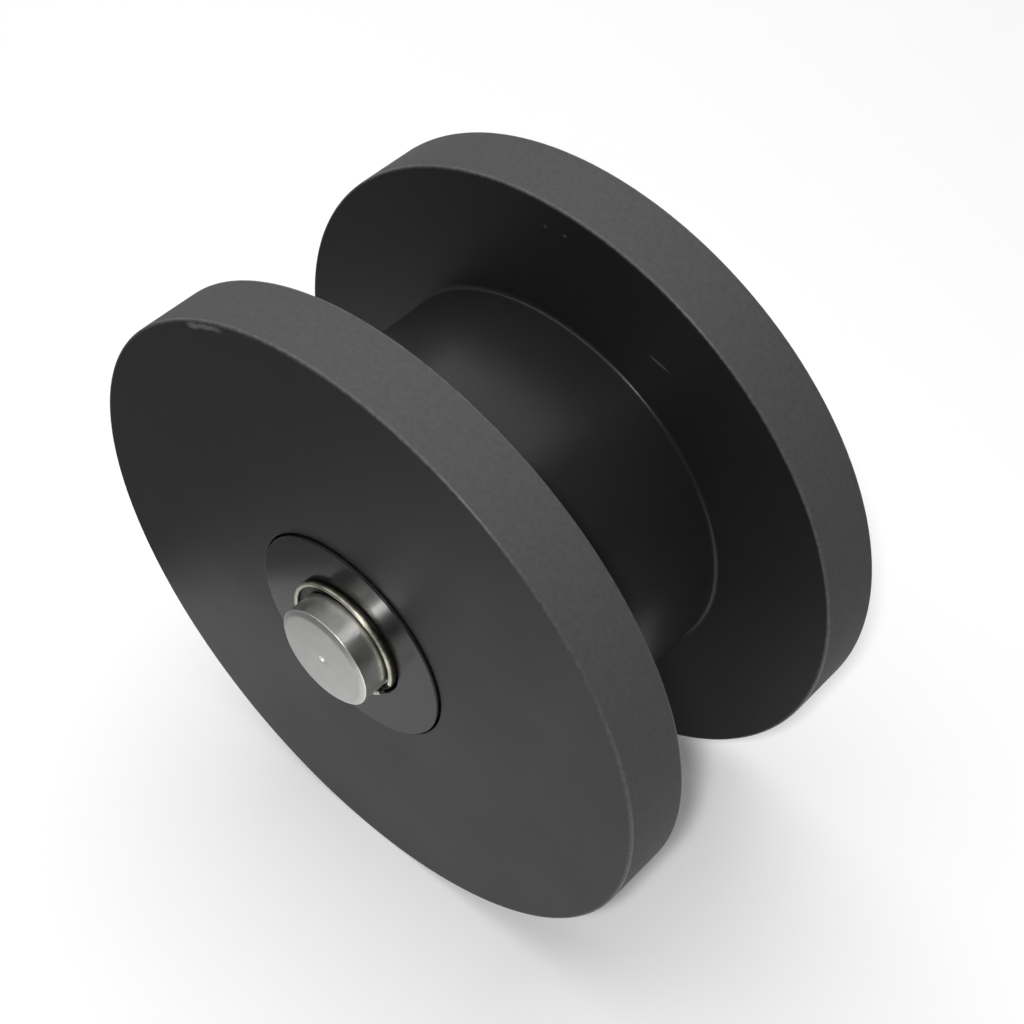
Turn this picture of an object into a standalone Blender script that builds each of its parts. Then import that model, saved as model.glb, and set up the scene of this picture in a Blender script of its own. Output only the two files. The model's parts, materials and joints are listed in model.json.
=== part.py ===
"""Double-flanged sheave roller that turns on a fixed axle pin through two sealed ball bearings.

The axis lies along Y with the origin at the roller's centre, the front end towards -Y and +Z up.
Every size is in metres. "Along" is the distance from the middle plane towards the end of the pin.
"""
import math

import bmesh
import bpy
from mathutils import Matrix, Vector

MM = 0.001

# Sheave body: one piece of black nylon, two flanges with a plain drum between them
FLANGE_RADIUS = 62.5 * MM
HALF_WIDTH = 32.0 * MM
FLANGE_THICKNESS = 12.7 * MM
DRUM_RADIUS = 38.7 * MM
DRUM_FILLET = 0.8 * MM
RIM_CHAMFER = 0.5 * MM
MOUTH_CHAMFER = 0.35 * MM
SHOULDER_RADIUS = 17.5 * MM
CIRCLIP_GROOVE_DEPTH = 1.25 * MM

# Axle pin
PIN_RADIUS = 10.0 * MM
PIN_OVERHANG = 6.9 * MM
PIN_CHAMFER_RADIAL = 0.9 * MM
PIN_CHAMFER_ALONG = 0.55 * MM
CENTRE_MARK_RADIUS = 0.75 * MM
CENTRE_MARK_DEPTH = 1.3 * MM

# Deep-groove ball bearings, 20 mm bore, 42 mm outside, 12 mm wide
BEARING_RADIUS = 21.0 * MM
BEARING_WIDTH = 12.0 * MM
BEARING_CHAMFER = 0.6 * MM
BALL_RADIUS = 3.175 * MM
BALLS_PER_BEARING = 9
LAND_DEPTH = 2.1 * MM
CAGE_THICKNESS = 1.6 * MM
CAGE_WEB = 0.5 * MM
SEAL_THICKNESS = 0.8 * MM
SEAL_INSET = 0.45 * MM
SEAL_SEAT_DEPTH = 0.6 * MM

# Pieces that close and hold the bearings
CAP_THICKNESS = 2.95 * MM
CAP_PROUD = 0.6 * MM
CAP_EDGE = 0.4 * MM
CIRCLIP_THICKNESS = 1.5 * MM
CIRCLIP_REACH = 2.0 * MM
CIRCLIP_OPENING = math.radians(38)
SLEEVE_WALL = 3.0 * MM
COLLAR_WALL = 1.0 * MM
COLLAR_PROUD = 0.6 * MM

# Snap ring on the pin: a thin web in the groove with a raised rim, widest opposite its gap
RING_WEB_THICKNESS = 0.45 * MM
RING_HEIGHT = 1.0 * MM
RING_SEAT_DEPTH = 0.35 * MM
RING_RIM_WIDTH = 0.8 * MM
RING_REACH = 1.82 * MM
RING_OFFSET = 0.45 * MM
RING_GAP_START = math.radians(-42)
RING_GAP_END = math.radians(-14)

# Clearances
FACE_GAP = 0.3 * MM
FIT_GAP = 0.15 * MM
RUN_GAP = 0.25 * MM
BALL_GAP = 0.25 * MM
CAP_GAP = 0.25 * MM
COLLAR_GAP = 0.55 * MM

# Facets around each kind of piece, and the widest facet of a raceway in degrees
BODY_FACETS = 64
PIN_FACETS = 32
SMALL_FACETS = 32
POCKET_FACETS = 14
RACE_STEP = 27
BALL_FACETS = 10
BALL_ROWS = 6
RING_STATIONS = 30
CIRCLIP_STATIONS = 22

# Derived places along the pin, each from the face of the sheave inwards or outwards
BEARING_SEAT = BEARING_RADIUS + FIT_GAP
CAP_OUTSIDE = HALF_WIDTH + CAP_PROUD
CAP_INSIDE = CAP_OUTSIDE - CAP_THICKNESS
CIRCLIP_OUTSIDE = CAP_INSIDE - FACE_GAP
CIRCLIP_INSIDE = CIRCLIP_OUTSIDE - CIRCLIP_THICKNESS
BEARING_OUTSIDE = CIRCLIP_INSIDE - FACE_GAP
BEARING_MIDDLE = BEARING_OUTSIDE - BEARING_WIDTH / 2
BEARING_INSIDE = BEARING_OUTSIDE - BEARING_WIDTH
SHOULDER = BEARING_INSIDE - FACE_GAP
COLLAR_INSIDE = BEARING_OUTSIDE + FACE_GAP
COLLAR_OUTSIDE = HALF_WIDTH + COLLAR_PROUD
RING_INSIDE = COLLAR_OUTSIDE + FACE_GAP
RING_OUTSIDE = RING_INSIDE + RING_HEIGHT
PIN_END = HALF_WIDTH + PIN_OVERHANG

# Derived radii
BEARING_BORE = PIN_RADIUS + FIT_GAP
PITCH_RADIUS = (BEARING_BORE + BEARING_RADIUS) / 2
RACE_RADIUS = BALL_RADIUS + BALL_GAP
OUTER_LAND = PITCH_RADIUS + LAND_DEPTH
INNER_LAND = PITCH_RADIUS - LAND_DEPTH
SEAL_SEAT = OUTER_LAND + SEAL_SEAT_DEPTH
CAP_RADIUS = BEARING_SEAT - CAP_GAP
CIRCLIP_RADIUS = BEARING_SEAT + CIRCLIP_GROOVE_DEPTH - FIT_GAP
COLLAR_RADIUS = BEARING_BORE + COLLAR_WALL
CAP_HOLE = COLLAR_RADIUS + COLLAR_GAP
RING_INNER_RADIUS = PIN_RADIUS - RING_SEAT_DEPTH
PIN_GROOVE_RADIUS = RING_INNER_RADIUS - FIT_GAP

SIDES = (("front", -1), ("rear", 1))


def clear_scene():
    for item in list(bpy.data.objects):
        bpy.data.objects.remove(item, do_unlink=True)


def material(name, colour, roughness, metallic=0.0):
    result = bpy.data.materials.new(name)
    result.use_nodes = True
    shader = result.node_tree.nodes["Principled BSDF"]
    shader.inputs["Base Color"].default_value = (*colour, 1.0)
    shader.inputs["Roughness"].default_value = roughness
    shader.inputs["Metallic"].default_value = metallic
    return result


def add_object(name, mesh, finish):
    item = bpy.data.objects.new(name, mesh)
    bpy.context.scene.collection.objects.link(item)
    mesh.materials.append(finish)
    mesh.shade_smooth()
    mesh.set_sharp_from_angle(angle=math.radians(35))
    return item


def mesh_from(shape, name):
    bmesh.ops.recalc_face_normals(shape, faces=shape.faces)
    mesh = bpy.data.meshes.new(name)
    shape.to_mesh(mesh)
    shape.free()
    return mesh


def on_circle(radius, along, angle):
    return Vector((radius * math.cos(angle), along, radius * math.sin(angle)))


def arc(centre_radius, centre_along, radius, start, end, steps):
    """Points of a round stretch of an outline; 0 degrees points away from the axis, 90 along it."""
    points = []
    for step in range(steps + 1):
        angle = math.radians(start + (end - start) * step / steps)
        points.append((centre_radius + radius * math.cos(angle), centre_along + radius * math.sin(angle)))
    return points


def turned(name, outline, facets, finish):
    """Turn a closed outline of (radius, along) points around the Y axis."""
    shape = bmesh.new()
    rings = []
    for radius, along in outline:
        if radius == 0:
            rings.append([shape.verts.new((0, along, 0))] * facets)
        else:
            turn = [2 * math.pi * i / facets for i in range(facets)]
            rings.append([shape.verts.new(on_circle(radius, along, angle)) for angle in turn])
    pairs = list(zip(rings, rings[1:] + rings[:1]))
    for first, second in pairs:
        for i in range(facets):
            j = (i + 1) % facets
            corners = list(dict.fromkeys((first[i], first[j], second[j], second[i])))
            if len(corners) > 2:
                shape.faces.new(corners)
    return add_object(name, mesh_from(shape, name), finish)


def swept(name, sections, finish):
    """Join a row of like sections into an open ring and close its two ends."""
    shape = bmesh.new()
    rows = [[shape.verts.new(point) for point in section] for section in sections]
    for first, second in zip(rows, rows[1:]):
        for i in range(len(first)):
            j = (i + 1) % len(first)
            shape.faces.new((first[i], first[j], second[j], second[i]))
    shape.faces.new(rows[0])
    shape.faces.new(rows[-1])
    return add_object(name, mesh_from(shape, name), finish)


def mirrored(half):
    """Add the other half of an outline that is given for the +Y side only."""
    return half + [(radius, -along) for radius, along in reversed(half)]


def placed(outline, side):
    return [(radius, side * along) for radius, along in outline]


def sheave_body(finish):
    inner_face = HALF_WIDTH - FLANGE_THICKNESS
    groove = BEARING_SEAT + CIRCLIP_GROOVE_DEPTH
    half = [(SHOULDER_RADIUS, SHOULDER), (BEARING_SEAT, SHOULDER)]
    half += [(BEARING_SEAT, CIRCLIP_INSIDE - FIT_GAP), (groove, CIRCLIP_INSIDE - FIT_GAP)]
    half += [(groove, CIRCLIP_OUTSIDE + FIT_GAP), (BEARING_SEAT, CIRCLIP_OUTSIDE + FIT_GAP)]
    half += [(BEARING_SEAT, HALF_WIDTH - MOUTH_CHAMFER), (BEARING_SEAT + MOUTH_CHAMFER, HALF_WIDTH)]
    half += [(FLANGE_RADIUS - RIM_CHAMFER, HALF_WIDTH), (FLANGE_RADIUS, HALF_WIDTH - RIM_CHAMFER)]
    half += [(FLANGE_RADIUS, inner_face + RIM_CHAMFER), (FLANGE_RADIUS - RIM_CHAMFER, inner_face)]
    half += arc(DRUM_RADIUS + DRUM_FILLET, inner_face - DRUM_FILLET, DRUM_FILLET, 90, 180, 3)
    turned("sheave_body", mirrored(half), BODY_FACETS, finish)


def axle_pin(finish):
    groove_in = RING_INSIDE - FIT_GAP
    groove_out = RING_INSIDE + RING_WEB_THICKNESS + FIT_GAP
    half = [(PIN_RADIUS, groove_in), (PIN_GROOVE_RADIUS, groove_in)]
    half += [(PIN_GROOVE_RADIUS, groove_out), (PIN_RADIUS, groove_out)]
    half += [(PIN_RADIUS, PIN_END - PIN_CHAMFER_ALONG), (PIN_RADIUS - PIN_CHAMFER_RADIAL, PIN_END)]
    half += [(CENTRE_MARK_RADIUS, PIN_END), (0, PIN_END - CENTRE_MARK_DEPTH)]
    outline = [(radius, -along) for radius, along in reversed(half)] + half
    turned("axle_pin", outline, PIN_FACETS, finish)


def bearing_rings(label, side, finish):
    edge = BEARING_CHAMFER
    reach = math.degrees(math.acos(LAND_DEPTH / RACE_RADIUS))
    steps = math.ceil(2 * reach / RACE_STEP)
    seat = BEARING_WIDTH / 2 - SEAL_INSET - SEAL_THICKNESS - FIT_GAP
    half = BEARING_WIDTH / 2
    outer = [(BEARING_RADIUS - edge, half), (BEARING_RADIUS, half - edge)]
    outer += [(BEARING_RADIUS, edge - half), (BEARING_RADIUS - edge, -half)]
    outer += [(SEAL_SEAT, -half), (SEAL_SEAT, -seat), (OUTER_LAND, -seat)]
    outer += arc(PITCH_RADIUS, 0, RACE_RADIUS, -reach, reach, steps)
    outer += [(OUTER_LAND, seat), (SEAL_SEAT, seat), (SEAL_SEAT, half)]
    inner = [(BEARING_BORE + edge, -half), (BEARING_BORE, edge - half)]
    inner += [(BEARING_BORE, half - edge), (BEARING_BORE + edge, half), (INNER_LAND, half)]
    inner += arc(PITCH_RADIUS, 0, RACE_RADIUS, 180 - reach, 180 + reach, steps)
    inner += [(INNER_LAND, -half)]
    for name, outline in (("outer", outer), ("inner", inner)):
        moved = [(radius, side * BEARING_MIDDLE + along) for radius, along in outline]
        turned(f"bearing_{name}_ring_{label}", moved, SMALL_FACETS, finish)


def ball_angle(number):
    return 2 * math.pi * (number + 0.5) / BALLS_PER_BEARING


def bearing_balls(label, side, finish):
    for number in range(BALLS_PER_BEARING):
        name = f"bearing_ball_{label}_{number + 1}"
        shape = bmesh.new()
        bmesh.ops.create_uvsphere(shape, u_segments=BALL_FACETS, v_segments=BALL_ROWS, radius=BALL_RADIUS)
        ball = add_object(name, mesh_from(shape, name), finish)
        ball.location = on_circle(PITCH_RADIUS, side * BEARING_MIDDLE, ball_angle(number))


def pocket_cutter(label, middle, radius):
    """Round bars that stand out from the axis, one through each ball's place in the cage."""
    shape = bmesh.new()
    depth = 4 * CAGE_THICKNESS
    for number in range(BALLS_PER_BEARING):
        angle = ball_angle(number)
        spot = on_circle(PITCH_RADIUS, middle, angle)
        turn = Vector((math.cos(angle), 0, math.sin(angle))).to_track_quat("Z", "Y").to_matrix().to_4x4()
        bmesh.ops.create_cone(
            shape, cap_ends=True, segments=POCKET_FACETS, radius1=radius, radius2=radius,
            depth=depth, matrix=Matrix.Translation(spot) @ turn,
        )
    cutter = bpy.data.objects.new(f"pocket_cutter_{label}", mesh_from(shape, f"pocket_cutter_{label}"))
    bpy.context.scene.collection.objects.link(cutter)
    cutter.hide_render = True
    cutter.display_type = "WIRE"
    return cutter


def ball_cage(label, side, finish):
    middle = side * BEARING_MIDDLE
    pocket = (BALL_RADIUS + BALL_GAP) / math.cos(math.pi / POCKET_FACETS)
    half = pocket + CAGE_WEB
    inside = PITCH_RADIUS - CAGE_THICKNESS / 2
    outside = PITCH_RADIUS + CAGE_THICKNESS / 2
    outline = [(inside, middle - half), (outside, middle - half)]
    outline += [(outside, middle + half), (inside, middle + half)]
    cage = turned(f"ball_cage_{label}", outline, SMALL_FACETS, finish)
    cut = cage.modifiers.new("pockets", "BOOLEAN")
    cut.operation = "DIFFERENCE"
    cut.solver = "EXACT"
    cut.object = pocket_cutter(label, middle, pocket)


def bearing_seals(label, side, finish):
    inside = INNER_LAND + RUN_GAP
    outside = SEAL_SEAT - FIT_GAP
    far = BEARING_WIDTH / 2 - SEAL_INSET
    near = far - SEAL_THICKNESS
    for place, way in (("outer", 1), ("inner", -1)):
        low = BEARING_MIDDLE + way * near
        high = BEARING_MIDDLE + way * far
        outline = [(inside, low), (outside, low), (outside, high), (inside, high)]
        turned(f"bearing_{place}_seal_{label}", placed(outline, side), SMALL_FACETS, finish)


def dust_cap(label, side, finish):
    outline = [(CAP_HOLE, CAP_INSIDE), (CAP_RADIUS, CAP_INSIDE), (CAP_RADIUS, CAP_OUTSIDE - CAP_EDGE)]
    outline += [(CAP_RADIUS - CAP_EDGE, CAP_OUTSIDE), (CAP_HOLE + CAP_EDGE, CAP_OUTSIDE)]
    outline += [(CAP_HOLE, CAP_OUTSIDE - CAP_EDGE)]
    turned(f"dust_cap_{label}", placed(outline, side), SMALL_FACETS, finish)


def thrust_collar(label, side, finish):
    outline = [(BEARING_BORE, COLLAR_INSIDE), (COLLAR_RADIUS, COLLAR_INSIDE)]
    outline += [(COLLAR_RADIUS, COLLAR_OUTSIDE), (BEARING_BORE, COLLAR_OUTSIDE)]
    turned(f"thrust_collar_{label}", placed(outline, side), PIN_FACETS, finish)


def spacer_sleeve(finish):
    outside = BEARING_BORE + SLEEVE_WALL
    half = [(BEARING_BORE, SHOULDER), (outside, SHOULDER)]
    turned("spacer_sleeve", mirrored(half), PIN_FACETS, finish)


def bore_circlip(label, side, finish):
    """Inside circlip in the sheave's groove, with its opening at the bottom."""
    start = -math.pi / 2 + CIRCLIP_OPENING / 2
    sweep = 2 * math.pi - CIRCLIP_OPENING
    inside = BEARING_SEAT - CIRCLIP_REACH
    sections = []
    for station in range(CIRCLIP_STATIONS + 1):
        angle = start + sweep * station / CIRCLIP_STATIONS
        corners = ((inside, CIRCLIP_INSIDE), (CIRCLIP_RADIUS, CIRCLIP_INSIDE))
        corners += ((CIRCLIP_RADIUS, CIRCLIP_OUTSIDE), (inside, CIRCLIP_OUTSIDE))
        sections.append([on_circle(radius, side * along, angle) for radius, along in corners])
    swept(f"bore_circlip_{label}", sections, finish)


def snap_ring(label, side, finish):
    """Snap ring in the pin's groove: its rim stands furthest out opposite the gap between its ends."""
    start = RING_GAP_END
    sweep = 2 * math.pi - (RING_GAP_END - RING_GAP_START)
    back = start + sweep / 2
    web = RING_INSIDE + RING_WEB_THICKNESS
    sections = []
    for station in range(RING_STATIONS + 1):
        angle = start + sweep * station / RING_STATIONS
        outside = PIN_RADIUS + RING_REACH + RING_OFFSET * math.cos(angle - back)
        rim = outside - RING_RIM_WIDTH
        corners = [(RING_INNER_RADIUS, RING_INSIDE), (outside, RING_INSIDE), (outside, RING_OUTSIDE)]
        corners += [(rim, RING_OUTSIDE), (rim, web), (RING_INNER_RADIUS, web)]
        sections.append([on_circle(radius, side * along, angle) for radius, along in corners])
    swept(f"snap_ring_{label}", sections, finish)


def build():
    clear_scene()
    nylon = material("black_nylon", (0.030, 0.030, 0.030), 0.55)
    plated = material("plated_steel", (0.62, 0.62, 0.60), 0.32, 1.0)
    spring = material("spring_steel", (0.66, 0.64, 0.56), 0.35, 1.0)
    blackened = material("blackened_steel", (0.05, 0.05, 0.05), 0.45, 1.0)
    bearing = material("bearing_steel", (0.60, 0.61, 0.63), 0.20, 1.0)
    cage = material("cage_nylon", (0.55, 0.50, 0.38), 0.50)
    rubber = material("seal_rubber", (0.020, 0.020, 0.020), 0.60)
    cap = material("cap_plastic", (0.022, 0.022, 0.022), 0.18)
    sheave_body(nylon)
    axle_pin(plated)
    spacer_sleeve(bearing)
    for label, side in SIDES:
        bearing_rings(label, side, bearing)
        bearing_balls(label, side, bearing)
        ball_cage(label, side, cage)
        bearing_seals(label, side, rubber)
        bore_circlip(label, side, blackened)
        dust_cap(label, side, cap)
        thrust_collar(label, side, blackened)
        snap_ring(label, side, spring)


build()
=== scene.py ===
import json
import math

import bmesh
import bpy
from mathutils import Matrix, Vector


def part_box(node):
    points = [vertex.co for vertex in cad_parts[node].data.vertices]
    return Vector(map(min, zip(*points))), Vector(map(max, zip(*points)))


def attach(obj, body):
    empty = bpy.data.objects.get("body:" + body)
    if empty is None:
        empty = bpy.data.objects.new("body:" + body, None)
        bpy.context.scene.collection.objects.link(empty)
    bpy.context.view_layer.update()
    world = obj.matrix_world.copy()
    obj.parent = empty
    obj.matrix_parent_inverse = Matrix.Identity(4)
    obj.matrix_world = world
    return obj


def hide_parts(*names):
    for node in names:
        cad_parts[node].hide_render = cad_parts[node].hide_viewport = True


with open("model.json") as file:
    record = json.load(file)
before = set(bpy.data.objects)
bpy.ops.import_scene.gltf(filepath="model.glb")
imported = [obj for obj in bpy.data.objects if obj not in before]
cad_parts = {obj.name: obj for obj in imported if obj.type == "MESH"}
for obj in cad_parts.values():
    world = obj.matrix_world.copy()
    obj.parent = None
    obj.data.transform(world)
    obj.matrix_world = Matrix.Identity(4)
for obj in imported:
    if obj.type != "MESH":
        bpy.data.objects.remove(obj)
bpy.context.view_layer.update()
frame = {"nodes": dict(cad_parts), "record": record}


# ---------------------------------------------------------------------------------------------
# Axle pin
# A length of bright drawn steel bar, faced and chamfered at both ends, with the lathe's centre
# mark in each face and a groove near each end for a snap ring. It stays still in its bracket.
# ---------------------------------------------------------------------------------------------

MM = 0.001
SIDES = (("front", -1), ("rear", 1))


def put(tree, kind, inputs=None, **settings):
    """Add a node to a tree. Each input is a plain value or the output that feeds it."""
    node = tree.nodes.new(kind)
    for name, value in settings.items():
        setattr(node, name, value)
    for key, value in (inputs or {}).items():
        if isinstance(value, bpy.types.NodeSocket):
            tree.links.new(value, node.inputs[key])
        else:
            node.inputs[key].default_value = value
    return node


def maths(tree, operation, first, second=0.0):
    return put(tree, "ShaderNodeMath", {0: first, 1: second}, operation=operation).outputs[0]


def turning_tree():
    """Turn an outline, a row of points at (radius, along, 0), round the Y axis like a lathe."""
    tree = bpy.data.node_groups.new("Turning", "GeometryNodeTree")
    tree.interface.new_socket("Outline", in_out="INPUT", socket_type="NodeSocketGeometry")
    tree.interface.new_socket("Facets", in_out="INPUT", socket_type="NodeSocketInt")
    tree.interface.new_socket("Finish", in_out="INPUT", socket_type="NodeSocketMaterial")
    tree.interface.new_socket("Turned piece", in_out="OUTPUT", socket_type="NodeSocketGeometry")
    given = put(tree, "NodeGroupInput")
    outline = given.outputs["Outline"]
    facets = given.outputs["Facets"]
    rows = put(tree, "GeometryNodeAttributeDomainSize", {"Geometry": outline}).outputs["Point Count"]
    columns = maths(tree, "ADD", facets, 1.0)
    grid = put(tree, "GeometryNodeMeshGrid", {"Vertices X": columns, "Vertices Y": rows})
    index = put(tree, "GeometryNodeInputIndex").outputs[0]
    row = maths(tree, "MODULO", index, rows)
    column = maths(tree, "FLOOR", maths(tree, "DIVIDE", index, rows))
    turn = maths(tree, "MULTIPLY", column, maths(tree, "DIVIDE", 2 * math.pi, facets))
    place = put(tree, "GeometryNodeInputPosition").outputs[0]
    spot = put(
        tree, "GeometryNodeSampleIndex", {"Geometry": outline, "Value": place, "Index": row},
        data_type="FLOAT_VECTOR",
    )
    parts = put(tree, "ShaderNodeSeparateXYZ", {0: spot.outputs[0]}).outputs
    across = maths(tree, "MULTIPLY", parts["X"], maths(tree, "COSINE", turn))
    upward = maths(tree, "MULTIPLY", parts["X"], maths(tree, "SINE", turn))
    turned = put(tree, "ShaderNodeCombineXYZ", {"X": across, "Y": parts["Y"], "Z": upward}).outputs[0]
    moved = put(tree, "GeometryNodeSetPosition", {"Geometry": grid.outputs["Mesh"], "Position": turned})
    wear_and_painted_light = put(tree, "GeometryNodeInputNamedAttribute", {"Name": "wear_and_painted_light"}, data_type="FLOAT")
    sampled_wear_and_painted_light = put(
        tree, "GeometryNodeSampleIndex", {"Geometry": outline, "Value": wear_and_painted_light.outputs[0], "Index": row},
        data_type="FLOAT",
    )
    kept = put(
        tree, "GeometryNodeStoreNamedAttribute",
        {"Geometry": moved.outputs[0], "Name": "wear_and_painted_light", "Value": sampled_wear_and_painted_light.outputs[0]},
        data_type="FLOAT", domain="POINT",
    )
    merged = put(tree, "GeometryNodeMergeByDistance", {"Geometry": kept.outputs[0], "Distance": 1e-6})
    real = put(tree, "GeometryNodeRealizeInstances", {"Geometry": merged.outputs[0]})
    painted = put(
        tree, "GeometryNodeSetMaterial",
        {"Geometry": real.outputs[0], "Material": given.outputs["Finish"]},
    )
    put(tree, "NodeGroupOutput", {0: painted.outputs[0]})
    return tree


turning = turning_tree()


def grown(name, tree, start, settings, smooth_to=32):
    """Run a geometry tree on a start mesh and keep the result as a plain mesh that faces outwards."""
    maker = bpy.data.objects.new("maker", start)
    bpy.context.scene.collection.objects.link(maker)
    modifier = maker.modifiers.new("shape", "NODES")
    modifier.node_group = tree
    for item in tree.interface.items_tree:
        if item.name in settings:
            modifier[item.identifier] = settings[item.name]
    depsgraph = bpy.context.evaluated_depsgraph_get()
    mesh = bpy.data.meshes.new_from_object(
        maker.evaluated_get(depsgraph), preserve_all_data_layers=True, depsgraph=depsgraph
    )
    bpy.data.objects.remove(maker)
    return finished(name, mesh, smooth_to)


def finished(name, mesh, smooth_to=32):
    """Give a closed mesh outward faces, smooth shading with true edges, and an object of its own."""
    shape = bmesh.new()
    shape.from_mesh(mesh)
    bmesh.ops.recalc_face_normals(shape, faces=shape.faces)
    if shape.calc_volume(signed=True) < 0:
        bmesh.ops.reverse_faces(shape, faces=shape.faces)
    shape.to_mesh(mesh)
    shape.free()
    mesh.name = name
    mesh.shade_smooth()
    mesh.set_sharp_from_angle(angle=math.radians(smooth_to))
    piece = bpy.data.objects.new(name, mesh)
    bpy.context.scene.collection.objects.link(piece)
    return piece


def rounded(corners, support=0.12 * MM, step=15):
    """Round an outline's corners. Each is (radius, along, rounding, wear_and_painted_light): that value, 0
    to 1, for wear and painted light, goes on its arc.
    """
    points = []
    for number, (radius, along, rounding, wear_and_painted_light) in enumerate(corners):
        here = Vector((radius, along))
        if not rounding:
            points.append((radius, along, wear_and_painted_light))
            continue
        before = (Vector(corners[number - 1][:2]) - here).normalized()
        after = (Vector(corners[(number + 1) % len(corners)][:2]) - here).normalized()
        half = before.angle(after) / 2
        reach = rounding / math.tan(half)
        centre = here + (before + after).normalized() * rounding / math.sin(half)
        start = here + before * reach - centre
        end = here + after * reach - centre
        sweep = start.angle_signed(end)
        steps = max(2, round(abs(math.degrees(sweep)) / step))
        points.append((*(centre + start + before * support), 0.0))
        for i in range(steps + 1):
            spot = centre + Matrix.Rotation(-sweep * i / steps, 2) @ start
            points.append((*spot, wear_and_painted_light))
        points.append((*(centre + end + after * support), 0.0))
    return points


def outline_mesh(points, closed=True):
    """A row of (radius, along, wear_and_painted_light) points as a mesh; a closed outline repeats its
    first point.
    """
    if closed:
        points = points + points[:1]
    mesh = bpy.data.meshes.new("outline")
    edges = [(i, i + 1) for i in range(len(points) - 1)]
    mesh.from_pydata([(radius, along, 0.0) for radius, along, wear_and_painted_light in points], edges, [])
    wear_and_painted_light_values = mesh.attributes.new("wear_and_painted_light", "FLOAT", "POINT")
    wear_and_painted_light_values.data.foreach_set("value", [wear_and_painted_light for radius, along, wear_and_painted_light in points])
    return mesh


def turned(name, points, finish, facets, closed=True):
    settings = {"Facets": facets, "Finish": finish}
    return grown(name, turning, outline_mesh(points, closed), settings)


def mirrored(half):
    """The front half of an outline, from its rear half and in the opposite order."""
    return [(radius, -along, *rest) for radius, along, *rest in reversed(half)]


def new_finish(name, roughness, metallic=0.0):
    """A material, its tree and its shader, with the object's own coordinates ready to use."""
    finish = bpy.data.materials.new(name)
    finish.use_nodes = True
    shader = finish.node_tree.nodes["Principled BSDF"]
    shader.inputs["Roughness"].default_value = roughness
    shader.inputs["Metallic"].default_value = metallic
    place = put(finish.node_tree, "ShaderNodeTexCoord").outputs["Object"]
    return finish, finish.node_tree, shader, place


def stretched(tree, place, across, along):
    """Coordinates scaled across the axis and along it, so that a pattern runs round or lengthways."""
    scale = (across, along, across)
    return put(tree, "ShaderNodeVectorMath", {0: place, 1: scale}, operation="MULTIPLY").outputs[0]


def noise(tree, vector, scale=1.0, detail=3.0, roughness=0.5):
    inputs = {"Vector": vector, "Scale": scale, "Detail": detail, "Roughness": roughness}
    return put(tree, "ShaderNodeTexNoise", inputs).outputs["Fac"]


def spread(tree, value, low, high, to_low, to_high):
    """Map a value from one range to another, clamped."""
    inputs = {"Value": value, "From Min": low, "From Max": high, "To Min": to_low, "To Max": to_high}
    return put(tree, "ShaderNodeMapRange", inputs).outputs[0]


def blended(tree, amount, first, second):
    """Mix two colours. Each is a plain colour or an output."""
    node = put(tree, "ShaderNodeMix", data_type="RGBA")
    for socket, value in ((node.inputs[0], amount), (node.inputs[6], first), (node.inputs[7], second)):
        if isinstance(value, bpy.types.NodeSocket):
            tree.links.new(value, socket)
        else:
            socket.default_value = value
    return node.outputs[2]


def between(tree, amount, first, second):
    """Mix two numbers."""
    return put(tree, "ShaderNodeMix", {0: amount, 2: first, 3: second}).outputs[0]


def length_of(tree, vector):
    return put(tree, "ShaderNodeVectorMath", {0: vector}, operation="LENGTH").outputs["Value"]


def rings_noise(tree, travel, per_metre):
    """A pattern of rings or lines that varies with a distance only."""
    inputs = {"W": maths(tree, "MULTIPLY", travel, per_metre), "Scale": 1.0}
    return put(tree, "ShaderNodeTexNoise", inputs, noise_dimensions="1D").outputs["Fac"]


def wear_and_painted_light_of(tree):
    """A spot's wear and painted light, from 0 to 1, as stored on the mesh: worn edges, painted highlights,
    and on the snap rings painted shade where it is low.
    """
    return put(tree, "ShaderNodeAttribute", attribute_name="wear_and_painted_light").outputs["Fac"]


def bumped(tree, shader, height, strength, distance):
    bump = put(tree, "ShaderNodeBump", {"Strength": strength, "Distance": distance, "Height": height})
    tree.links.new(bump.outputs[0], shader.inputs["Normal"])


def from_axis(tree, place):
    """Distance from the pin's axis."""
    return length_of(tree, stretched(tree, place, 1, 0))


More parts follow.
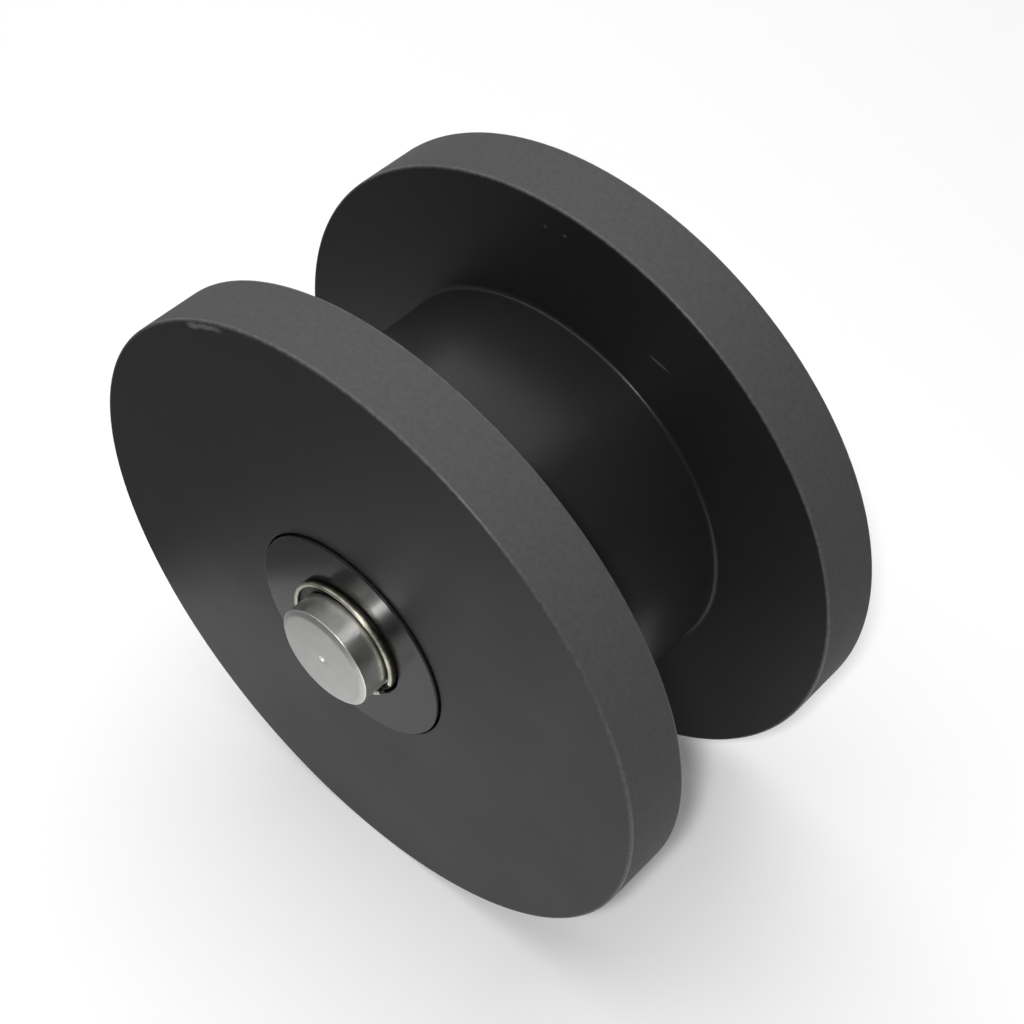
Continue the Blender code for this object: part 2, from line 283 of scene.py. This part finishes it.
def pin_finish(pin_radius, mark_radius):
    """Bright plated bar: soft blotches, drawn lines along the flank and fine rings on the faces. The flank
    is painted lighter than the face for the light it reflects, and the centre mark holds a painted glint.
    """
    finish, tree, shader, place = new_finish("plated_steel", 0.3, 1.0)
    blotch = noise(tree, place, 420, 4, 0.6)
    drawn = noise(tree, stretched(tree, place, 2200, 300), 1, 1)
    radius = from_axis(tree, place)
    rings = rings_noise(tree, radius, 9000)
    flank = spread(tree, radius, pin_radius - 0.25 * MM, pin_radius - 0.1 * MM, 0, 1)
    mark_with_painted_glint = spread(tree, radius, mark_radius - 0.05 * MM, mark_radius, 1, 0)
    mottle = between(tree, 0.55, drawn, blotch)
    face_colour = blended(tree, blotch, (0.59, 0.595, 0.58, 1), (0.67, 0.675, 0.655, 1))
    mottled = spread(tree, mottle, 0.35, 0.65, 0, 1)
    # The flank is painted lighter than the face, a painted reflection of bright light; its mottling is the
    # drawn bar's own.
    flank_colour_with_painted_light = blended(tree, mottled, (0.74, 0.745, 0.72, 1), (0.90, 0.90, 0.88, 1))
    # The centre mark's near-white colour is a painted glint.
    face_colour = blended(tree, mark_with_painted_glint, face_colour, (0.95, 0.95, 0.93, 1))
    tree.links.new(blended(tree, flank, face_colour, flank_colour_with_painted_light), shader.inputs["Base Color"])
    face_rough = between(tree, mark_with_painted_glint, spread(tree, blotch, 0.3, 0.7, 0.56, 0.48), 0.60)
    flank_rough = spread(tree, mottle, 0.35, 0.65, 0.40, 0.31)
    tree.links.new(between(tree, flank, face_rough, flank_rough), shader.inputs["Roughness"])
    bumped(tree, shader, between(tree, flank, rings, drawn), 0.04, 0.01 * MM)
    return finish


pin_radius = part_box("axle_pin")[1].x
pin_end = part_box("axle_pin")[1].y
ring_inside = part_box("snap_ring_rear")[0].y
web_thickness = 0.45 * MM
groove_depth = 0.5 * MM
groove_gap = 0.15 * MM
chamfer_across = 0.9 * MM
chamfer_along = 0.55 * MM
mark_radius = 0.75 * MM
mark_depth = 1.3 * MM
groove_floor = pin_radius - groove_depth
groove_start = ring_inside - groove_gap
groove_end = ring_inside + web_thickness + groove_gap

pin_half = [
    (pin_radius, groove_start, 0.08 * MM, 0),
    (groove_floor, groove_start, 0, 0),
    (groove_floor, groove_end, 0, 0),
    (pin_radius, groove_end, 0.08 * MM, 0),
    (pin_radius, pin_end - chamfer_along, 0.12 * MM, 0),
    (pin_radius - chamfer_across, pin_end, 0.9 * MM, 0),
    (mark_radius, pin_end, 0.06 * MM, 0),
    (0.08 * mark_radius, pin_end - 0.92 * mark_depth, 0, 0),
    (0.0, pin_end - mark_depth, 0, 0),
]
pin_outline = rounded(mirrored(pin_half) + pin_half, 0.05 * MM)
pin = turned("axle_pin_bar", pin_outline, pin_finish(pin_radius, mark_radius), 128, closed=False)
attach(pin, "pin")
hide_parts("axle_pin")


# ---------------------------------------------------------------------------------------------
# Sheave body
# One piece turned from a black nylon bar: two thick flanges, a plain drum with a small fillet in
# each corner, and a bore with a seat, a shoulder and a circlip groove for each bearing.
# ---------------------------------------------------------------------------------------------

# Each scuff's x, y and z, its length and width in mm, its slope in degrees, and how strongly it shows.
SCUFFS = (
    (-30.4, -32.0, 53.4, 2.3, 0.75, 27, 0.6),
    (-27.4, -32.0, 55.0, 2.6, 0.7, 25, 0.55),
    (-24.8, -32.0, 56.2, 2.0, 0.7, 20, 0.4),
    (-2.2, 19.3, 57.5, 0.5, 0.35, 0, 0.4),
    (2.0, 19.3, 57.9, 0.6, 0.35, 0, 0.4),
    (22.8, 19.3, 42.9, 2.6, 0.34, -15, 0.5),
)


def scuff_mask(tree, place, centre, size, slope):
    """1 at a spot of a face, 0 beyond the size from it. The slope is its long side's, in degrees."""
    turn = (0, -math.radians(slope), 0)
    inputs = {"Vector": place, "Location": centre, "Rotation": turn, "Scale": size}
    spot = put(tree, "ShaderNodeMapping", inputs, vector_type="TEXTURE").outputs[0]
    return spread(tree, length_of(tree, spot), 0.45, 1.0, 1, 0)


def nylon_finish(flange_radius, inner_face, drum_end):
    """Black nylon: smooth turned faces with faint rings, a coarser speckled rim lightened partly by
    painted light from above, edges worn and lightened with a painted highlight, and small scuffs.
    """
    finish, tree, shader, place = new_finish("black_nylon", 0.5)
    shader.inputs["Specular IOR Level"].default_value = 0.25
    radius = from_axis(tree, place)
    along = put(tree, "ShaderNodeSeparateXYZ", {0: place}).outputs["Y"]
    rim = spread(tree, radius, flange_radius - 0.35 * MM, flange_radius - 0.1 * MM, 0, 1)
    cloud = noise(tree, place, 45, 5, 0.6)
    grain = noise(tree, place, 2300, 3, 0.65)
    speck = noise(tree, place, 1250, 2, 0.5)
    rings = rings_noise(tree, maths(tree, "ADD", radius, along), 2600)
    cloudy = spread(tree, cloud, 0.3, 0.7, -0.1, 0.1)
    tint = maths(tree, "ADD", cloudy, spread(tree, grain, 0.3, 0.7, 0.3, 0.7))
    face_colour = blended(tree, tint, (0.011, 0.011, 0.0113, 1), (0.019, 0.019, 0.019, 1))
    speckled = spread(tree, speck, 0.3, 0.7, 0, 1)
    # The rim is lighter than the faces: partly its coarser matte surface, partly painted light from above.
    rim_colour = blended(tree, speckled, (0.064, 0.064, 0.064, 1), (0.076, 0.076, 0.075, 1))
    colour = blended(tree, rim, face_colour, rim_colour)
    # Edges are lightened where worn and with a painted highlight along the rim arrises and the bore mouth.
    wear_and_painted_light = wear_and_painted_light_of(tree)
    worn_and_highlit = maths(tree, "MULTIPLY", wear_and_painted_light, spread(tree, speck, 0.35, 0.65, 0.05, 0.3))
    colour = blended(tree, worn_and_highlit, colour, (0.13, 0.13, 0.13, 1))
    marks = 0.0
    for x, y, z, length, width, slope, weight in SCUFFS:
        size = (length * MM, 1 * MM, width * MM)
        mask = scuff_mask(tree, place, (x * MM, y * MM, z * MM), size, slope)
        marks = maths(tree, "ADD", maths(tree, "MULTIPLY", mask, weight), marks)
    marks = maths(tree, "MULTIPLY", marks, spread(tree, grain, 0.3, 0.7, 0.6, 0.9))
    colour = blended(tree, marks, colour, (0.20, 0.20, 0.20, 1))
    tree.links.new(colour, shader.inputs["Base Color"])
    face_rough = spread(tree, cloud, 0.3, 0.7, 0.40, 0.47)
    from_middle = maths(tree, "ABSOLUTE", along)
    near_drum = spread(tree, radius, drum_end, drum_end + 0.5 * MM, 1, 0)
    in_groove = spread(tree, from_middle, inner_face + 0.1 * MM, inner_face + 0.3 * MM, 1, 0)
    on_drum = maths(tree, "MULTIPLY", near_drum, in_groove)
    rough = between(tree, rim, face_rough, 0.72)
    rough = between(tree, on_drum, rough, 0.31)
    rough = between(tree, wear_and_painted_light, rough, 0.36)
    tree.links.new(rough, shader.inputs["Roughness"])
    height = between(tree, rim, between(tree, 0.45, grain, rings), speck)
    bumped(tree, shader, height, between(tree, rim, 0.22, 0.35), 0.03 * MM)
    return finish


flange_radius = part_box("sheave_body")[1].x
half_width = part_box("sheave_body")[1].y
flange_thickness = 12.7 * MM
drum_radius = 38.7 * MM
drum_fillet = 0.8 * MM
mouth_chamfer = 0.2 * MM
rim_rounding = 0.45 * MM
shoulder_radius = 17.5 * MM
inner_face = half_width - flange_thickness
seat_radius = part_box("bearing_outer_ring_rear")[1].x + 0.15 * MM
shoulder_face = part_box("bearing_outer_ring_rear")[0].y - 0.3 * MM
circlip_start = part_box("bore_circlip_rear")[0].y - groove_gap
circlip_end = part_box("bore_circlip_rear")[1].y + groove_gap
circlip_floor = seat_radius + 1.25 * MM

sheave_half = [
    (shoulder_radius, shoulder_face, 0.3 * MM, 0),
    (seat_radius, shoulder_face, 0, 0),
    (seat_radius, circlip_start, 0, 0),
    (circlip_floor, circlip_start, 0, 0),
    (circlip_floor, circlip_end, 0, 0),
    (seat_radius, circlip_end, 0, 0),
    # The bore mouth's corners and the rim arrises carry wear and a painted highlight.
    (seat_radius, half_width - mouth_chamfer, 0.08 * MM, 0.6),
    (seat_radius + mouth_chamfer, half_width, 0.08 * MM, 0.6),
    (flange_radius, half_width, rim_rounding, 1),
    (flange_radius, inner_face, rim_rounding, 1),
    (drum_radius, inner_face, drum_fillet, 0),
]
sheave = turned(
    "sheave_body_nylon", rounded(sheave_half + mirrored(sheave_half)),
    nylon_finish(flange_radius, inner_face, drum_radius + drum_fillet), 256,
)
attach(sheave, "sheave")
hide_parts("sheave_body")


# ---------------------------------------------------------------------------------------------
# Dust caps
# A glossy black moulded disc pressed into each end of the bore, a little proud of the flange,
# with a round hole that clears the collar on the pin. It turns with the sheave.
# ---------------------------------------------------------------------------------------------

def cap_finish():
    """Smooth moulded plastic: a clean gloss with faint waviness and a little dust in it, and a painted
    highlight on its outer top edge.
    """
    finish, tree, shader, place = new_finish("cap_plastic", 0.14)
    shader.inputs["Specular IOR Level"].default_value = 0.26
    wave = noise(tree, place, 160, 2, 0.5)
    dust = noise(tree, place, 1500, 4, 0.6)
    dusty = spread(tree, dust, 0.52, 0.75, 0, 0.5)
    colour = blended(tree, dusty, (0.007, 0.007, 0.0073, 1), (0.026, 0.026, 0.025, 1))
    # Painted highlight: the outer top edge is lightened towards grey.
    colour = blended(tree, maths(tree, "MULTIPLY", wear_and_painted_light_of(tree), 0.35), colour, (0.10, 0.10, 0.10, 1))
    tree.links.new(colour, shader.inputs["Base Color"])
    tree.links.new(spread(tree, dust, 0.3, 0.75, 0.12, 0.24), shader.inputs["Roughness"])
    bumped(tree, shader, wave, 0.12, 0.05 * MM)
    return finish


cap_gloss = cap_finish()
cap_edge = 0.2 * MM
cap_clearance = 0.55 * MM
for label, side in SIDES:
    low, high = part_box(f"dust_cap_{label}")
    collar_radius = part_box(f"thrust_collar_{label}")[1].x
    hole = collar_radius + cap_clearance
    near, far = (low.y, high.y) if side > 0 else (high.y, low.y)
    inwards = far - side * cap_edge
    outline = [
        (hole, near, 0.1 * MM, 0),
        (high.x, near, 0.1 * MM, 0),
        # These two outer top corners carry the cap's painted highlight.
        (high.x, inwards, 0.08 * MM, 1),
        (high.x - cap_edge, far, 0.08 * MM, 1),
        (hole + cap_edge, far, 0.08 * MM, 0),
        (hole, inwards, 0.08 * MM, 0),
    ]
    cap = turned(f"dust_cap_{label}_moulded", rounded(outline, 0.04 * MM), cap_gloss, 160)
    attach(cap, "sheave")
    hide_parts(f"dust_cap_{label}")


# ---------------------------------------------------------------------------------------------
# Thrust collars
# A short blackened steel tube on the pin at each end, which passes the side load from the
# bearing's inner ring to the snap ring. It stays still with the pin.
# ---------------------------------------------------------------------------------------------

def blackened_finish():
    """Chemically blackened and oiled steel: dark, patchy and a little shiny."""
    finish, tree, shader, place = new_finish("blackened_steel", 0.4, 0.85)
    patch = noise(tree, place, 500, 4, 0.6)
    lines = noise(tree, stretched(tree, place, 900, 5200), 1, 2)
    patchy = spread(tree, patch, 0.35, 0.65, 0, 1)
    colour = blended(tree, patchy, (0.016, 0.015, 0.013, 1), (0.040, 0.037, 0.032, 1))
    tree.links.new(colour, shader.inputs["Base Color"])
    tree.links.new(spread(tree, patch, 0.3, 0.7, 0.32, 0.5), shader.inputs["Roughness"])
    bumped(tree, shader, lines, 0.2, 0.01 * MM)
    return finish


blackened = blackened_finish()
collar_bore = pin_radius + 0.15 * MM
for label, side in SIDES:
    low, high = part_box(f"thrust_collar_{label}")
    outline = [
        (collar_bore, low.y, 0.1 * MM, 0),
        (high.x, low.y, 0.15 * MM, 1),
        (high.x, high.y, 0.15 * MM, 1),
        (collar_bore, high.y, 0.1 * MM, 0),
    ]
    collar = turned(f"thrust_collar_{label}_tube", rounded(outline, 0.06 * MM), blackened, 96)
    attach(collar, "pin")
    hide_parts(f"thrust_collar_{label}")


# ---------------------------------------------------------------------------------------------
# Snap rings
# Spring steel strip rolled into an open ring: a thin web sprung into the pin's groove and a
# raised rim, which stands furthest from the pin opposite the gap between the ring's ends.
# ---------------------------------------------------------------------------------------------

def snap_ring_finish():
    """Passivated spring steel, pale yellow on the rim, with painted shade: dark in the channel, on the web
    and under the ring.
    """
    finish, tree, shader, place = new_finish("spring_steel", 0.35, 1.0)
    blotch = noise(tree, place, 900, 3, 0.6)
    lines = noise(tree, stretched(tree, place, 1500, 4000), 1, 2)
    blotchy = spread(tree, blotch, 0.35, 0.65, 0, 1)
    bright = blended(tree, blotchy, (0.46, 0.45, 0.36, 1), (0.72, 0.71, 0.60, 1))
    # The dark colour in the channel, on the web and under the ring is painted shade.
    colour = blended(tree, wear_and_painted_light_of(tree), (0.035, 0.033, 0.028, 1), bright)
    tree.links.new(colour, shader.inputs["Base Color"])
    tree.links.new(spread(tree, blotch, 0.3, 0.7, 0.28, 0.46), shader.inputs["Roughness"])
    bumped(tree, shader, lines, 0.15, 0.01 * MM)
    return finish


ring_reach = 1.82 * MM
ring_offset = 0.45 * MM
rim_width = 0.8 * MM
web_depth = 0.35 * MM
gap_start = math.radians(-42)
gap_end = math.radians(-14)


def ring_section(angle, back, inside, outside, side):
    """Points round the ring's web and raised rim at an angle, each with its value of wear and painted
    light: 1 on the pale rim, lower for painted shade.
    """
    rim_outside = pin_radius + ring_reach + ring_offset * math.cos(angle - back)
    rim_inside = rim_outside - rim_width
    web_inside = pin_radius - web_depth
    web = inside + web_thickness
    corners = [
        (web_inside, inside, 0.12 * MM, 0),
        (rim_outside, inside, 0.2 * MM, 0.6),
        (rim_outside, outside, 0.28 * MM, 1),
        (rim_inside, outside, 0.25 * MM, 1),
        (rim_inside, web, 0, 0),
        (web_inside, web, 0.12 * MM, 0),
    ]
    section = []
    for radius, along, wear_and_painted_light in rounded(corners, 0.02 * MM, 30):
        spot = (radius * math.cos(angle), side * along, radius * math.sin(angle))
        # Unshaded is 1 on the pale rim; elsewhere the outline's value paints the shade.
        unshaded = 1.0 if radius > rim_inside + 0.02 * MM and along > web else wear_and_painted_light
        section.append((spot, unshaded))
    return section


def snap_ring_mesh(side, inside, outside, stations=120):
    """Sweep the ring's section from one end of the gap round to the other, and cap both ends."""
    sweep = 2 * math.pi - (gap_end - gap_start)
    back = gap_end + sweep / 2
    shape = bmesh.new()
    layer = shape.verts.layers.float.new("wear_and_painted_light")
    rows = []
    for station in range(stations + 1):
        angle = gap_end + sweep * station / stations
        row = []
        for spot, wear_and_painted_light in ring_section(angle, back, inside, outside, side):
            vertex = shape.verts.new(spot)
            vertex[layer] = wear_and_painted_light
            row.append(vertex)
        rows.append(row)
    for first, second in zip(rows, rows[1:]):
        for i in range(len(first)):
            j = (i + 1) % len(first)
            shape.faces.new((first[i], first[j], second[j], second[i]))
    shape.faces.new(rows[0])
    shape.faces.new(rows[-1])
    mesh = bpy.data.meshes.new("snap_ring")
    shape.to_mesh(mesh)
    shape.free()
    return mesh


ring_finish = snap_ring_finish()
for label, side in SIDES:
    low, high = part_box(f"snap_ring_{label}")
    near, far = sorted((abs(low.y), abs(high.y)))
    ring = finished(f"snap_ring_{label}_strip", snap_ring_mesh(side, near, far))
    ring.data.materials.append(ring_finish)
    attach(ring, "pin")
    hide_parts(f"snap_ring_{label}")


# ---------------------------------------------------------------------------------------------
# Bearings, spacer sleeve and circlips
# Hidden inside the bore: two sealed deep-groove ball bearings, the tube between their inner
# rings, and the inside circlips that hold their outer rings.
# ---------------------------------------------------------------------------------------------

def inner_finish(name, roughness, metallic, dark, light):
    """A patchy finish between two colours, with fine lines round the axis."""
    finish, tree, shader, place = new_finish(name, roughness, metallic)
    patch = noise(tree, place, 420, 3, 0.55)
    lines = noise(tree, stretched(tree, place, 700, 5000), 1, 2)
    colour = blended(tree, spread(tree, patch, 0.35, 0.65, 0, 1), dark, light)
    tree.links.new(colour, shader.inputs["Base Color"])
    rough = spread(tree, patch, 0.3, 0.7, roughness - 0.04, roughness + 0.08)
    tree.links.new(rough, shader.inputs["Roughness"])
    bumped(tree, shader, lines, 0.15, 0.01 * MM)
    return finish


bearing_steel = inner_finish("bearing_steel", 0.16, 1.0, (0.56, 0.57, 0.60, 1), (0.68, 0.69, 0.71, 1))
cage_nylon = inner_finish("cage_nylon", 0.45, 0.0, (0.50, 0.44, 0.30, 1), (0.62, 0.56, 0.42, 1))
seal_rubber = inner_finish("seal_rubber", 0.55, 0.0, (0.012, 0.012, 0.012, 1), (0.024, 0.024, 0.024, 1))
slots = {row["node"]: row["material_slot"] for row in frame["record"]["subparts"]}
finishes = {
    "bearing_steel": bearing_steel, "cage_nylon": cage_nylon,
    "seal_rubber": seal_rubber, "blackened_steel": blackened,
}
for name, node in frame["nodes"].items():
    if slots[name] in finishes and not node.hide_render:
        node.data.materials.clear()
        node.data.materials.append(finishes[slots[name]])


# ---------------------------------------------------------------------------------------------
# Studio
# A pale floor that fades into a white background, a large soft light overhead, one at the left
# and a small one for glints, two grey cards that show only in reflections, and the camera.
# ---------------------------------------------------------------------------------------------

def soft_light(name, position, size, power):
    """A round light that shines at the middle of the object."""
    data = bpy.data.lights.new(name, "AREA")
    data.shape = "DISK"
    data.size = size
    data.energy = power
    light = bpy.data.objects.new(name, data)
    light.location = position
    light.visible_camera = False
    light.rotation_euler = (-Vector(position)).to_track_quat("-Z", "Y").to_euler()
    bpy.context.scene.collection.objects.link(light)


def staged_sheet(name, corners, finish):
    """A flat four-sided sheet that isn't part of the object."""
    mesh = bpy.data.meshes.new(name)
    mesh.from_pydata(corners, [], [(0, 1, 2, 3)])
    mesh.materials.append(finish)
    sheet = bpy.data.objects.new(name, mesh)
    bpy.context.scene.collection.objects.link(sheet)
    return sheet


floor_reach = 4.0
floor_glow = 0.13
floor_finish, tree, shader, place = new_finish("floor_white", 0.6)
shader.inputs["Base Color"].default_value = (0.9, 0.9, 0.9, 1)
shader.inputs["Specular IOR Level"].default_value = 0.0
shader.inputs["Emission Color"].default_value = (1, 1, 1, 1)
seen = put(tree, "ShaderNodeLightPath").outputs["Is Camera Ray"]
fade = spread(tree, length_of(tree, place), 0.35, 1.0, 0, 1 - floor_glow)
glow = maths(tree, "ADD", maths(tree, "MULTIPLY", fade, seen), floor_glow)
tree.links.new(glow, shader.inputs["Emission Strength"])
floor_corners = []
for x, y in ((-1, -1), (1, -1), (1, 1), (-1, 1)):
    floor_corners.append((x * floor_reach, y * floor_reach, -flange_radius))
staged_sheet("floor", floor_corners, floor_finish)

right = Vector((0.7392, 0.6735, 0.0))
upward = Vector((-0.5095, 0.5592, 0.6540))
forward = Vector((0.6735, -0.7392, 0.0))
card_finish, tree, shader, unused = new_finish("card_grey", 0.9)
shader.inputs["Base Color"].default_value = (0.2, 0.2, 0.2, 1)
card_height = Vector((0.0, 0.0, 1 * MM - flange_radius))
for label, near, far in (("left", -0.086, -1.0), ("right", 0.13, 1.0)):
    corners = []
    for out, aside in ((near, -0.4), (near, 0.4), (far, 0.4), (far, -0.4)):
        corners.append(right * out + forward * aside + card_height)
    card = staged_sheet(f"card_{label}", corners, card_finish)
    card.visible_camera = False
    card.visible_shadow = False
    card.visible_diffuse = False

world = bpy.data.worlds.new("studio")
world.use_nodes = True
sky = world.node_tree
seen = put(sky, "ShaderNodeLightPath").outputs["Is Camera Ray"]
sky_strength = spread(sky, seen, 0, 1, 0.06, 0.98)
sky.links.new(sky_strength, sky.nodes["Background"].inputs["Strength"])
sky.nodes["Background"].inputs["Color"].default_value = (1, 1, 1, 1)
bpy.context.scene.world = world
soft_light("overhead", (-0.30, 0.20, 0.95), 1.8, 13.0)
soft_light("window", (-0.95, 0.10, 0.45), 0.8, 1.0)
soft_light("key", (0.19, -0.26, 0.42), 0.034, 1.3)
bpy.context.scene.view_settings.view_transform = "Standard"

camera_data = bpy.data.cameras.new("camera")
camera_data.lens = 65.81
camera_data.sensor_width = 36
camera = bpy.data.objects.new("camera", camera_data)
camera_place = Vector((2.4141, -2.5068, 4.1040)) * flange_radius
camera_turn = Matrix((right, upward, right.cross(upward))).transposed().to_4x4()
camera.matrix_world = Matrix.Translation(camera_place) @ camera_turn
bpy.context.scene.collection.objects.link(camera)
bpy.context.scene.camera = camera
